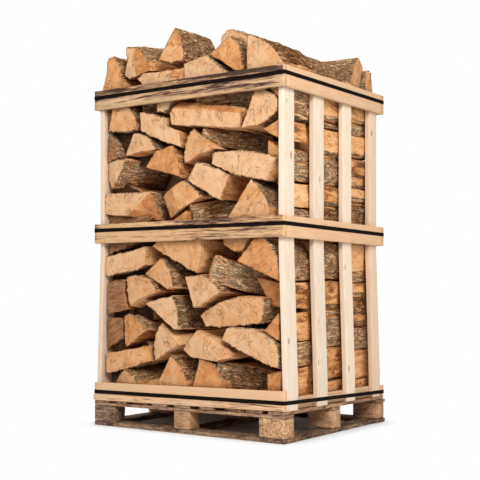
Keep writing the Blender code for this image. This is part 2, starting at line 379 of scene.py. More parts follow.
def sawn_board(name, early, late, streak, stain=0.0, knots=()):
    """Sawn softwood. stain is the share of it that weather has darkened, and knots are points in metres."""
    f = Finish(name)
    grain = f.attribute("grain")
    radius = f.length(f.stretched(grain, (0.02, 1.0))) + f.noise(grain, (1.6, 9.0), 2.0) * 0.035
    rings = f.math("SINE", radius * 1150.0)
    fibres = f.noise(grain, (7.0, 380.0), 3.0, 0.6)
    bands = f.noise(grain, (2.2, 55.0))
    share = f.math("ADD", f.range(rings, -0.6, 1.0, 0.0, 0.45), bands * 0.5, clamp=True)
    colour = f.mix(f.range(fibres, 0.52, 0.75, 0.0, 0.35), f.mix(share, early, late), streak)
    colour = f.scaled(colour, f.range(f.attribute("luck", "Fac"), 0.0, 1.0, 0.93, 1.04))
    if stain > 0.0:
        along, up, _ = f.parts(f.attribute("place"))
        cloud = f.noise(grain, (2.8, 40.0), 4.0, 0.6, 0.5)
        thin = f.noise(grain, (13.0, 230.0), 3.0, 0.68, 0.3)
        wet = cloud * 0.53 + thin * 0.47 + f.range(up, 0.70, 0.88, 0.0, 0.30 * stain - 0.21)
        wet += f.range(up, 0.04, 0.24, -0.06, 0.0)
        wet += f.range(along, 0.0, 0.03, 0.05, 0.0)
        wet += f.range(along, 0.20, 0.80, -0.050, 0.030)
        wet += f.range(along, 0.93, 0.985, 0.0, 0.14 - 0.20 * stain)
        wet += f.range(along, 0.988, 0.999, 0.0, -0.15)
        edge = 0.60 - 0.12 * stain
        colour = f.mix(f.range(wet, edge - 0.04, edge + 0.03, 0.0, 0.80), colour, (0.26, 0.130, 0.070))
        colour = f.mix(f.range(wet, edge + 0.03, edge + 0.09, 0.0, 0.95), colour, (0.038, 0.019, 0.012))
    cells = f.node("ShaderNodeTexVoronoi", {"Vector": f.stretched(grain, (2.6, 5.0)), "Scale": 1.0})
    colour = f.mix(f.range(cells, 0.022, 0.05, 0.8, 0.0), colour, (0.27, 0.115, 0.05))
    for point, size, tint in knots:
        offset = f.vector("SUBTRACT", f.position(), point)
        span = f.length(f.stretched(offset, (1.0, 1.0, 0.42))) + (fibres - 0.5) * (size * 0.5)
        colour = f.mix(f.range(span, size * 0.7, size * 1.25, 0.85, 0.0), colour, tint)
    return f.finish(colour, 0.68, fibres + rings * 0.12, 0.0006, 0.25)


def pallet_board(name, light, dark, pitted):
    """Weathered pallet wood, blotched between two colours. pitted is how far its dark pits show."""
    f = Finish(name)
    grain = f.attribute("grain")
    cloud = f.noise(grain, (9.0, 27.0), 4.0, 0.66, 0.5)
    streak = f.noise(grain, (13.0, 150.0), 3.0, 0.62, 0.3)
    pits = f.noise(grain, (58.0, 130.0), 3.0, 0.7)
    level = cloud * 0.52 + streak * 0.48 + f.range(f.attribute("luck", "Fac"), 0.0, 1.0, -0.03, 0.03)
    mean = [(a + b) / 2 for a, b in zip(light, dark)]
    deep = [channel * 0.4 for channel in dark]
    colour = f.ramp(level, (0.36, *deep), (0.45, *dark), (0.53, *mean), (0.63, *light))
    colour = f.mix(f.range(pits, 0.54, 0.63, 0.0, pitted), colour, (0.022, 0.012, 0.009))
    worn = tuple(channel * 1.25 for channel in light)
    colour = f.mix(f.range(pits, 0.32, 0.42, pitted * 0.6, 0.0), colour, worn)
    return f.finish(colour, 0.85, streak - pits, 0.0014, 0.18)


def pressed_chips():
    """Pressed wood chips: flakes of different browns with dark gaps."""
    f = Finish("pressed chips")
    grain = f.attribute("grain")
    chips = {"Vector": f.stretched(grain, (90.0, 135.0)), "Scale": 1.0, "Randomness": 1.0}
    tint = f.node("ShaderNodeSeparateColor", {"Color": f.node("ShaderNodeTexVoronoi", chips, 1)})
    gap = f.node("ShaderNodeTexVoronoi", chips)
    colour = f.ramp(tint, (0.0, 0.38, 0.19, 0.09), (0.5, 0.62, 0.35, 0.175), (1.0, 0.78, 0.49, 0.275))
    colour = f.scaled(colour, f.range(f.noise(grain, 22.0, 3.0, 0.6), 0.35, 0.65, 0.78, 1.08))
    holes = f.noise(grain, 85.0, 3.0, 0.7)
    colour = f.mix(f.range(holes, 0.58, 0.66, 0.0, 0.9), colour, (0.045, 0.020, 0.010))
    colour = f.mix(f.range(gap, 0.55, 0.9, 0.0, 0.35), colour, (0.16, 0.075, 0.035))
    return f.finish(colour, 0.9, f.math("SUBTRACT", 1.0, gap) - holes, 0.002, 0.2)


def black_strap():
    """Polyester strap: black with a fine crosswise emboss and dust in it."""
    f = Finish("black strap")
    weave = f.noise(f.position(), (500.0, 500.0, 1400.0), 2.0, 0.5)
    dust = f.noise(f.position(), 22.0, 4.0, 0.6)
    colour = f.mix(f.range(dust, 0.45, 0.75, 0.0, 0.5), (0.0065, 0.0035, 0.0025), (0.018, 0.010, 0.007))
    return f.finish(colour, f.range(dust, 0.3, 0.8, 0.6, 0.8), weave, 0.0006, 0.06)


def grey_steel():
    """Nail heads: dull zinc with spots of rust."""
    f = Finish("nail steel")
    spots = f.noise(f.position(), 700.0, 3.0, 0.6)
    colour = f.mix(f.range(spots, 0.45, 0.6), (0.16, 0.13, 0.12), (0.11, 0.05, 0.025))
    f.shader.inputs["Metallic"].default_value = 0.4
    return f.finish(colour, 0.6, spots, 0.0004)


FLOOR_REST = (0.56, 0.45, 0.0)
FLOOR_FADE = 0.17


def pale_floor():
    """A floor that falls away to the white of the background a hand's width from the pallet."""
    f = Finish("studio floor")
    cloud = f.noise(f.position(), 0.7, 2.0)
    f.finish(f.mix(cloud, (0.88, 0.88, 0.88), (0.91, 0.91, 0.91)), 0.85, None, 0.0, 0.1)
    beyond = f.vector("MAXIMUM", f.vector("SUBTRACT", f.vector("ABSOLUTE", f.position()), FLOOR_REST))
    far = f.range(f.length(beyond), 0.0, FLOOR_FADE)
    seen = f.node("ShaderNodeLightPath", {})
    white = f.node("ShaderNodeEmission", {"Color": (1.0, 1.0, 1.0), "Strength": 1.0})
    lit = Value(f, f.shader.outputs["BSDF"])
    f.join(f.node("ShaderNodeMixShader", {0: far * seen, 1: lit, 2: white}), f.surface)
    return f.material


# ---- Boards ----

BOARD_CORNER = 0.0022
BOARD_STEP = 0.022
BOARD_SIDE_STEPS = 5
SLAT_BEND_CLEARANCE = 0.01


def corner_heights(points):
    """A board's low and high Z at its four corners, by whether X and then Y is low or high."""
    middle = (points.min(axis=0) + points.max(axis=0)) / 2
    heights = np.zeros((2, 2, 2))
    for right in (0, 1):
        for back in (0, 1):
            here = ((points[:, 0] > middle[0]) == right) & ((points[:, 1] > middle[1]) == back)
            heights[right, back] = points[here, 2].min(), points[here, 2].max()
    return heights


def between_corners(heights, across, back):
    """The height at these shares of the way along X and Y, from the heights at four corners."""
    near = heights[0, 0] + (heights[1, 0] - heights[0, 0]) * across
    far = heights[0, 1] + (heights[1, 1] - heights[0, 1]) * across
    return near + (far - near) * back


def bent_outer_face(points):
    """A slat's bends from its foot to its top, as heights and as X at its outer face."""
    low, high = points[:, 2].min(), points[:, 2].max()
    inner = (points[:, 2] > low + SLAT_BEND_CLEARANCE) & (points[:, 2] < high - SLAT_BEND_CLEARANCE)
    heights = sorted(set(np.round(points[inner, 2], 3)))
    outer = [points[np.abs(points[:, 2] - z) < 0.002, 0] for z in heights]
    return heights, [xs[np.argmax(np.abs(xs))] for xs in outer]


def rounded_square(width, height):
    """Points round a board's section as shares of its width and height, with the way out at each."""
    round_x, round_y = BOARD_CORNER / width, BOARD_CORNER / height
    sides = np.array([
        ((round_x, 0.0), (1.0 - round_x, 0.0), (0.0, -1.0)),
        ((1.0, round_y), (1.0, 1.0 - round_y), (1.0, 0.0)),
        ((1.0 - round_x, 1.0), (round_x, 1.0), (0.0, 1.0)),
        ((0.0, 1.0 - round_y), (0.0, round_y), (-1.0, 0.0)),
    ])
    places, outward = [], []
    for (start, end, out), (next_start, _, next_out) in zip(sides, np.roll(sides, -1, axis=0)):
        for step in range(BOARD_SIDE_STEPS + 1):
            places.append(start + (end - start) * step / BOARD_SIDE_STEPS)
            outward.append(out)
        pull = np.where(np.abs(end - 0.5) > 0.4, np.round(end), 0.5)
        places.append((end + next_start) / 2 * 0.6 + pull * 0.4)
        outward.append((out + next_out) * math.sqrt(0.5))
    return np.array(places), np.array(outward)


def make_board(node, seed, material, slot, uneven, chipping):
    """A sawn board in the space of this CAD node, with rounded, slightly uneven faces."""
    points = np.array([vert.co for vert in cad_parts[node].data.vertices])
    low, high = points.min(axis=0), points.max(axis=0)
    size = high - low
    long = int(np.argmax(size))
    wide, thick = [axis for axis in range(3) if axis != long]
    section, outward = rounded_square(size[wide], size[thick])
    count = len(section)
    inset = BOARD_CORNER * 0.7
    inner = np.linspace(inset, size[long] - inset, max(6, int(size[long] / BOARD_STEP)))
    along = np.concatenate([[0.0], inner, [size[long]]])
    shrink = np.zeros((len(along), 1))
    shrink[[0, -1]] = inset
    shares, ways = np.zeros((2, len(along), count, 3))
    shares[:, :, long] = (along / size[long])[:, None]
    for axis, column in ((wide, 0), (thick, 1)):
        shares[:, :, axis] = (section[:, column] - 0.5) * (1.0 - 2.0 * shrink / size[axis]) + 0.5
        ways[:, :, axis] = outward[:, column]
    caps = np.full((2, 3), 0.5)
    caps[:, long] = 0.0, 1.0
    shares = np.concatenate([shares.reshape(-1, 3), caps])
    ways = np.concatenate([ways.reshape(-1, 3), np.zeros((2, 3))])
    placed = low + shares * size
    if "slat" in node:
        heights, faces = bent_outer_face(points)
        thickness = abs(size[0] - abs(faces[0] - faces[-1]))
        side = np.sign(faces[0])
        depth = shares[:, 0] if side < 0 else 1.0 - shares[:, 0]
        placed[:, 0] = np.interp(placed[:, 2], heights, faces) - side * depth * thickness
    else:
        heights = corner_heights(points)
        bottom, top = (between_corners(heights[:, :, end], shares[:, 0], shares[:, 1]) for end in (0, 1))
        placed[:, 2] = bottom + (top - bottom) * shares[:, 2]
    worn = layered_noise(placed * 35.0 + seed, seed) * uneven
    slant = np.abs(ways).max(axis=1)
    chips = layered_noise(placed * (9.0, 60.0, 60.0) + seed, seed + 7, 3)
    chipped = np.clip(chips - 0.52, 0.0, 1.0) * chipping * 8.0
    worn += chipped * np.where((slant < 0.9) & (slant > 0.1), 1.0, 0.25)
    placed = placed - ways * worn[:, None]
    here, after = loop_indices(count)
    final = (len(along) - 1) * count
    triangles = np.concatenate([
        np.stack([np.full(count, final + count), here, after], axis=1),
        np.stack([np.full(count, final + count + 1), final + after, final + here], axis=1),
    ])  # fmt: skip
    quads, triangles = facing_out(placed, strip_faces(count, len(along)), triangles)
    luck = np.random.default_rng(seed).random(4)
    grain = np.zeros((len(placed), 3)) + (luck[0] * 7.0, 0.03 + 0.08 * luck[1], 0.02 + 0.05 * luck[2])
    middle = (low + high) / 2
    middle[long] = 0.0
    grain += (placed - middle)[:, [long, wide, thick]]
    attributes = {
        "grain": grain, "place": shares[:, [long, wide if wide == 2 else thick, thick]],
        "luck": np.full(len(placed), luck[3]),
    }  # fmt: skip
    finishes = np.zeros(len(quads) + len(triangles))
    new_piece(f"{node}_board", placed, quads, triangles, [material], finishes, attributes, node)


# Knots on the right-hand slats: each one's place and radius in metres, and its colour.
SLAT_KNOTS = (
    ((0.578, -0.409, 1.357), 0.008, (0.33, 0.16, 0.07)),
    ((0.578, -0.447, 1.610), 0.005, (0.42, 0.30, 0.20)),
    ((0.593, -0.452, 0.480), 0.007, (0.40, 0.22, 0.11)),
    ((0.590, -0.174, 0.566), 0.006, (0.60, 0.42, 0.18)),
    ((0.597, -0.186, 0.362), 0.006, (0.52, 0.34, 0.17)),
    ((0.581, 0.106, 0.835), 0.006, (0.45, 0.28, 0.14)),
    ((0.598, 0.114, 0.313), 0.007, (0.42, 0.22, 0.10)),
    ((0.578, -0.142, 1.265), 0.007, (0.50, 0.27, 0.12)),
    ((0.578, 0.404, 1.560), 0.006, (0.20, 0.11, 0.07)),
)  # fmt: skip


def make_boards():
    peach, orange = (0.78, 0.54, 0.36), (0.72, 0.43, 0.22)
    slat = sawn_board("slat softwood", (0.85, 0.725, 0.585), (0.78, 0.60, 0.425), peach, knots=SLAT_KNOTS)
    # Painted shade: a darker copy of the slat wood for the far right-hand slat and the left-hand slats, where
    # less light falls.
    shaded = sawn_board(
        "older slat softwood", (0.80, 0.615, 0.460), (0.72, 0.50, 0.335), peach, knots=SLAT_KNOTS
    )
    fresh = sawn_board("fresh softwood", (0.78, 0.51, 0.31), (0.69, 0.41, 0.22), orange)
    top = sawn_board("top rail softwood", (0.64, 0.42, 0.23), (0.52, 0.31, 0.155), (0.28, 0.14, 0.08), 1.0)
    middle = sawn_board(
        "middle rail softwood", (0.69, 0.44, 0.235), (0.55, 0.32, 0.15), (0.32, 0.17, 0.08), 0.82
    )
    foot = sawn_board(
        "foot rail softwood", (0.78, 0.51, 0.305), (0.62, 0.375, 0.205), (0.30, 0.16, 0.08), 0.55
    )
    base = pallet_board("base board wood", (0.40, 0.255, 0.155), (0.105, 0.056, 0.033), 0.85)
    deck = pallet_board("deck board wood", (0.54, 0.34, 0.20), (0.22, 0.115, 0.06), 0.6)
    block = pallet_board("block wood", (0.70, 0.43, 0.245), (0.40, 0.21, 0.105), 0.5)
    # Node names, their material and slot, how uneven the faces are and how chipped the edges.
    looks = (
        ("block_front_right", pressed_chips(), "pressed_chip", 0.0016, 0.003),
        ("base_|block_front_left", base, "pallet_wood", 0.0016, 0.006),
        ("block_", block, "pallet_wood", 0.0012, 0.004),
        ("deck_|stringer_", deck, "pallet_wood", 0.0012, 0.004),
        ("slat_right_4|slat_left_", shaded, "fresh_board", 0.0006, 0.0),
        ("slat_", slat, "fresh_board", 0.0006, 0.0),
        (".*_rail_(left|right)|foot_rail_(back|front_upper)", fresh, "fresh_board", 0.0006, 0.0),
        ("top_", top, "weathered_rail", 0.0008, 0.001),
        ("middle_", middle, "weathered_rail", 0.0008, 0.001),
        ("foot_", foot, "weathered_rail", 0.0008, 0.001),
    )
    for seed, node in enumerate(sorted(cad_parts), 900):
        for names, *look in looks:
            if re.match(names, node):
                make_board(node, seed, *look)
                break


NAIL_RADIUS = 0.0021
NAIL_SIDES = 10
NAIL_RISE = 0.031
NAIL_SPREAD = 0.018
END_NAIL_X = 0.566
# A nail head's rings, from its root to its crown: each one's share of the radius and how far out it lies.
NAIL_RINGS = ((1.0, -0.0012), (1.0, -0.0001), (0.8, 0.0002), (0.4, 0.0003))


def make_nail(name, place, way, steel):
    """A domed nail head at this place on a rail's face. way is 0 where the face looks along X, 1 along Y."""
    turns = np.linspace(0.0, 2.0 * math.pi, NAIL_SIDES, endpoint=False)
    out = math.copysign(1.0, place[way])
    points = np.zeros((len(NAIL_RINGS), NAIL_SIDES, 3)) + place
    for ring, (share, lift) in zip(points, NAIL_RINGS):
        ring[:, way] += lift * out
        ring[:, 1 - way] += np.cos(turns) * share * NAIL_RADIUS
        ring[:, 2] += np.sin(turns) * share * NAIL_RADIUS
    crown = np.array(place)
    crown[way] += NAIL_RINGS[-1][1] * out
    points = np.concatenate([points.reshape(-1, 3), [crown]])
    here, after = loop_indices(NAIL_SIDES)
    last = 3 * NAIL_SIDES
    triangles = np.concatenate([
        np.stack([last + here, np.full(NAIL_SIDES, last + NAIL_SIDES), last + after], axis=1),
        np.stack([np.zeros(NAIL_SIDES - 2), after[1:-1], here[1:-1]], axis=1),
    ])  # fmt: skip
    quads, triangles = facing_out(points, strip_faces(NAIL_SIDES, len(NAIL_RINGS)), triangles)
    new_piece(name, points, quads, triangles, [steel], np.zeros(len(quads) + len(triangles)), {})


def make_nails():
    """Two nails wherever a rail crosses a slat, above and below the strap."""
    steel = grey_steel()
    for ring in ("middle", "top"):
        for side in ("left", "right", "front", "back"):
            low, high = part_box(f"{ring}_rail_{side}")
            face = low if side in ("left", "front") else high
            if side in ("left", "right"):
                way, spread = 0, NAIL_SPREAD
                slats = [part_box(f"slat_{side}_{number}") for number in range(1, 5)]
                middles = [(near.y + far.y) / 2 for near, far in slats]
            else:
                way, spread, middles = 1, 0.0, (-END_NAIL_X, END_NAIL_X)
            for number, middle in enumerate(middles, 1):
                for letter, shift in (("a", 1.0), ("b", -1.0)):
                    place = [middle + spread * shift] * 2 + [(low.z + high.z) / 2 + NAIL_RISE * shift]
                    place[way] = face[way]
                    make_nail(f"nail_{ring}_{side}_{number}{letter}", place, way, steel)


# ---- Logs ----

BARK_DEPTH = 0.0072
PITH_REACH = 0.20
PITH_ASIDE = 0.11
WORN_CORNER = 0.0035
CREASE_EDGE = 0.004
# A log's ends: where the rings of points nearest each one lie along it, and how far its rim is rounded off.
END_RINGS = (0.0, 0.0025, 0.0065, 0.0120)
END_ROUNDING, ROUNDED_LENGTH = 0.0016, 0.004
# On a sawn end itself: how far in its two outer rings of points lie, its inner one's size, and its relief.
RIM, INNER_RIM = 0.0032, 0.011
CORE_SIZE = 0.42
END_RELIEF = 0.42
# The space for logs: X between the slats and above them, then Y and Z.
STACK_HALF_LENGTH = 0.5497
HEAP_HALF_LENGTH = 0.5747
HEAP_OVERHANG_FOOT = 1.761
SIDE_STEP = 0.00015
STACK_LOW = (-0.4740, 0.1)
STACK_HIGH = (0.4740, 2.0445)
# The steps between a log's points: over bark, over split wood, and along it near its first and last ends.
FINE = (0.0048, 0.0064, 0.0090, 0.0260)
EVEN = (0.0064, 0.0085, 0.0130, 0.0130)
PLAIN = (0.0110, 0.0145, 0.0220, 0.0180)
COARSE = (0.0110, 0.0170, 0.0260, 0.0400)
# How warm a log's wood is from pale to orange, and how much dirt dulls its ends; the full share is painted
# shade for logs deep in the gaps.
PALE, TAN, ORANGE, AMBER = (0.10, 0.0), (0.40, 0.0), (0.72, 0.0), (0.72, 0.35)
DULL, IN_SHADOW = (0.60, 0.76), (0.60, 1.0)
# How light, mossy and red its bark is.
MOSSY, GREY, BROWN, ROSY = (0.62, 0.85, 0.2), (0.50, 0.45, 0.3), (0.58, 0.15, 0.5), (0.72, 0.0, 0.8)
SHADY, BLEACHED = (0.05, 0.35, 0.5), (0.95, 0.5, 0.5)


def sides_of(corners):
    """A section's sides, counter-clockwise: start, end and the share by which bark bulges, or 0."""
    ends = [np.array(corner[:2]) * CM for corner in corners]
    bulges = [sum(corner[2:]) for corner in corners]
    sides = list(zip(ends, [*ends[1:], ends[0]], bulges))
    if sum(p[0] * q[1] - p[1] * q[0] for p, q, _ in sides) < 0:
        sides = [(q, p, bulge) for p, q, bulge in reversed(sides)]
    return sides


def sampled_section(sides, bark_step, split_step):
    """Points round the section, with the share of bark at each and the way out from the wood."""
    points, barks = [], []
    for start, end, bulge in sides:
        chord = end - start
        length = np.linalg.norm(chord)
        out = np.array([chord[1], -chord[0]]) / length
        count = max(2, int(length / (bark_step if bulge else split_step)))
        corner = min(0.2, WORN_CORNER / length)
        for share in (0.0, *np.linspace(corner, 1.0 - corner, count)):
            points.append(start + chord * share + out * (4.0 * share * (1.0 - share) * bulge * length))
            barks.append(float(bulge > 0.0 and share > 0.0))
    points = np.array(points)
    points = points * 0.6 + (np.roll(points, 1, axis=0) + np.roll(points, -1, axis=0)) * 0.2
    chord = np.roll(points, -1, axis=0) - np.roll(points, 1, axis=0)
    outward = np.stack([chord[:, 1], -chord[:, 0]], axis=1)
    return points, np.array(barks), outward / np.linalg.norm(outward, axis=1)[:, None]


def pith_of(sides, middle, random):
    """Where the tree's centre was, for this section: behind its widest bark, or off to one side."""
    barked = [side for side in sides if side[2] > 0.0]
    if not barked:
        turn = random.uniform(0.0, 2.0 * math.pi)
        return middle + PITH_ASIDE * np.array([math.cos(turn), math.sin(turn)])
    start, end, bulge = max(barked, key=lambda side: np.linalg.norm(side[1] - side[0]))
    length = np.linalg.norm(end - start)
    out = np.array([end[1] - start[1], start[0] - end[0]]) / length
    rise = bulge * length
    radius = min(PITH_REACH, (length**2 / 4.0 + rise**2) / (2.0 * rise))
    return (start + end) / 2.0 + out * (rise - radius)


def ring_places(length, near_step, far_step):
    """Distances along a log for its rings of points, close together at both sawn ends."""
    lip = END_RINGS[-1]
    inner = [lip]
    while inner[-1] < length - lip - far_step * 0.6:
        inner.append(inner[-1] + near_step + (far_step - near_step) * inner[-1] / length)
    inner[-1] = min(inner[-1], length - lip)
    return np.array([*END_RINGS[:-1], *inner, *(length - place for place in END_RINGS[-2::-1])])


def wall_lift(sample, bark, seed):
    """How far a log's side stands out at each point, and the relief of its bark there from 0 to 1."""
    ridges = 1.0 - np.abs(2.0 * layered_noise(sample * (62.0, 62.0, 19.0), seed, 3) - 1.0) * 1.9
    plates = layered_noise(sample * (150.0, 150.0, 75.0), seed + 3)
    relief = np.clip(0.62 * (1.0 - np.clip(ridges, 0.0, 1.0)) + 0.5 * plates, 0.0, 1.0)
    lumps = layered_noise(sample * (14.0, 14.0, 9.0), seed + 11) - 0.5
    torn = layered_noise(sample * (140.0, 140.0, 14.0), seed + 17) - 0.5
    wave = layered_noise(sample * (22.0, 22.0, 6.0), seed + 23) - 0.5
    barked = BARK_DEPTH * (relief - 0.55) * 1.6 + 0.008 * lumps
    return bark * barked + (1.0 - bark) * (0.0050 * torn + 0.011 * wave), relief


def make_log(name, node, corners, start, end, item, seed, detail):
    """A split log whose first end has this section at start, in metres. Its other end is at end.

    The item's crease is a point of the first end, in centimetres, the way in which the wood falls
    away beyond it in degrees from +X, how steeply it does so, and how much warmer it is there.
    """
    random = np.random.default_rng(seed)
    start, end = np.array(start), np.array(end)
    length = np.linalg.norm(end - start)
    along = (end - start) / length
    up = np.array([0.0, 0.0, 1.0]) - along * along[2]
    up /= np.linalg.norm(up)
    sides = sides_of(corners)
    flat, barks, outward = sampled_section(sides, *detail[:2])
    count = len(flat)
    middle = flat.mean(axis=0)
    pith = pith_of(sides, middle, random)
    places_along = ring_places(length, *detail[2:])
    rings = len(places_along)
    taper = random.uniform(-0.05, 0.07)
    twist = random.uniform(-0.06, 0.06)
    bend = random.uniform(-0.006, 0.006, 2)
    slopes = random.uniform(-0.07, 0.07, (2, 2))
    fan, heading, steepness, warmer = middle, 0.0, 0.0, 0.0
    if item["crease"]:
        *fan, heading, steepness, warmer = item["crease"]
        fan = np.array(fan) * CM
    fall = np.array([math.cos(math.radians(heading)), math.sin(math.radians(heading))])

    def beyond_crease(places, which):
        """How far these places of the first end lie beyond its crease."""
        return np.maximum((places - fan) @ fall, 0.0) * (which == 0)

    def cut(places, which):
        """How far the sawn end stands in from a square cut at these places of the section."""
        gap_shade_specks = layered_noise(np.column_stack([places * 45.0, np.full(len(places), which * 5.0)]), seed + 5)
        depth = (places - middle) @ slopes[which] + 0.0030 * (gap_shade_specks - 0.5)
        return depth + steepness * beyond_crease(places, which)

    def bent(places, share):
        """The section's places moved by the log's own taper, twist and bend."""
        share = np.reshape(share, (-1, 1))
        turn = twist * share
        x, y = np.split(places - middle, 2, axis=1)
        turned = np.hstack([x * np.cos(turn) - y * np.sin(turn), x * np.sin(turn) + y * np.cos(turn)])
        return middle + turned * (1.0 - taper * share) + bend * np.sin(np.pi * share)

    share = np.repeat(places_along / length, count)
    tiled = np.tile(flat, (rings, 1))
    depth = np.tile(cut(flat, 0), rings) * (1.0 - share) + (length - np.tile(cut(flat, 1), rings)) * share
    sample = np.column_stack([tiled, depth]) + seed * 1.7
    lift, relief = wall_lift(sample, np.tile(barks, rings), seed)
    to_end = np.minimum(share, 1.0 - share) * length
    lift = lift - END_ROUNDING * np.clip(1.0 - to_end / ROUNDED_LENGTH, 0.0, 1.0)
    walls = bent(tiled, share) + np.tile(outward, (rings, 1)) * lift[:, None]
    none = np.zeros(len(walls))
    # Each vertex's place, its place in the grain, its relief, how far it is from the rim, and its warmth.
    vertices = [np.column_stack([walls, depth, depth, tiled - pith, relief, none, none])]
    here, after = loop_indices(count)
    mostly_bark = (barks + np.roll(barks, -1)) > 1.0
    quads, finishes = [strip_faces(count, rings)], [np.tile(np.where(mostly_bark, 0, 1), rings - 1)]
    reach = np.maximum(np.linalg.norm(flat - fan, axis=1), 0.02)
    # A sawn end's rings of points: their size as shares of the rim's, and how much of its lift they keep.
    end_rings = ((1.0 - RIM / reach, 1.0), (1.0 - INNER_RIM / reach, 1.0), (np.full(count, CORE_SIZE), 0.0))
    tips, total = [], len(walls)
    for which, border in ((0, 0), (1, (rings - 1) * count)):
        rim = outward * lift[border : border + count, None]
        for scale, lifted in end_rings:
            places = fan + (flat - fan) * scale[:, None]
            deep = cut(places, which)
            deep = deep if which == 0 else length - deep
            edge = (1.0 - scale) * reach
            warmth = warmer * np.clip(beyond_crease(places, which) / CREASE_EDGE, 0.0, 1.0)
            flush = bent(places, which) + rim * lifted
            even = np.full(count, END_RELIEF)
            vertices.append(np.column_stack([flush, deep, deep, places - pith, even, edge, warmth]))
            ring = np.stack([border + here, border + after, total + after, total + here], axis=1)
            quads.append(ring if which == 0 else ring[:, ::-1])
            finishes.append(np.where(mostly_bark & (border < len(walls)), 0, 2))
            border = total
            total += count
        centre = fan[None, :]
        deep = cut(centre, which)
        deep = deep if which == 0 else length - deep
        flush = bent(centre, which)
        vertices.append(np.column_stack([flush, deep, deep, centre - pith, END_RELIEF, reach[0], 0.0]))
        tip = np.stack([border + here, border + after, np.full(count, total)], axis=1)
        tips.append(tip if which == 0 else tip[:, ::-1])
        total += 1
    vertices = np.concatenate(vertices)
    placed = start + vertices[:, 0:1] * np.cross(along, up) + vertices[:, 1:2] * up + vertices[:, 2:3] * along
    half_length = np.where(placed[:, 2] > HEAP_OVERHANG_FOOT, HEAP_HALF_LENGTH, STACK_HALF_LENGTH)
    # Logs that meet a slat stop at slightly different places, so that their cut sides don't coincide.
    half_length -= seed * 7 % 11 * SIDE_STEP
    placed[:, 0] = np.clip(placed[:, 0], -half_length, half_length)
    placed[:, 1:] = np.clip(placed[:, 1:], STACK_LOW, STACK_HIGH)
    warmth, dulling_and_shade = item["shade"]
    tone = np.tile((warmth + random.uniform(-0.08, 0.08), dulling_and_shade, random.random()), (total, 1))
    tone[:, 0] += vertices[:, 8]
    rind = item["rind"] or (random.uniform(0.45, 0.85), random.uniform(0.0, 0.55), random.uniform(0.0, 0.8))
    attributes = {
        "grain": vertices[:, 3:6] + (seed * 0.37, 0.0, 0.0), "relief": vertices[:, 6], "edge": vertices[:, 7],
        "tone": tone, "rind": np.tile(rind, (total, 1)),
    }  # fmt: skip
    quads, tips = np.concatenate(quads), np.concatenate(tips)
    finishes = np.concatenate([*finishes, np.full(len(tips), 2)])
    new_piece(name, placed, quads, tips, LOG_MATERIALS, finishes, attributes, node)


def log(shade, *corners, back=0.5, rind=None, crease=None, lean=(0.0, 0.0), short=0.0):
    """A log along Y, by the corners of its front end in X and Z, in centimetres.

    A third number on a corner is the bulge of the bark on the side that starts there, as a share of
    that side's length. back is how far the end stands in from the row's face, lean is how far the
    log's other end lies off in X and Z, and short is how far it stops before the row's other face.
    """
    return {
        "ends": None, "shade": shade, "corners": corners, "back": back, "rind": rind, "crease": crease,
        "lean": lean, "short": short,
    }  # fmt: skip


def crosswise(shade, start, end, *corners, rind=None):
    """A log that lies across its row, from start to end as X, depth in from the row's face, and Z.

    Its corners are off the line from start to end: to the right of it as seen from above, and up.
    """
    return {"ends": (start, end), "shade": shade, "corners": corners, "rind": rind, "crease": None}


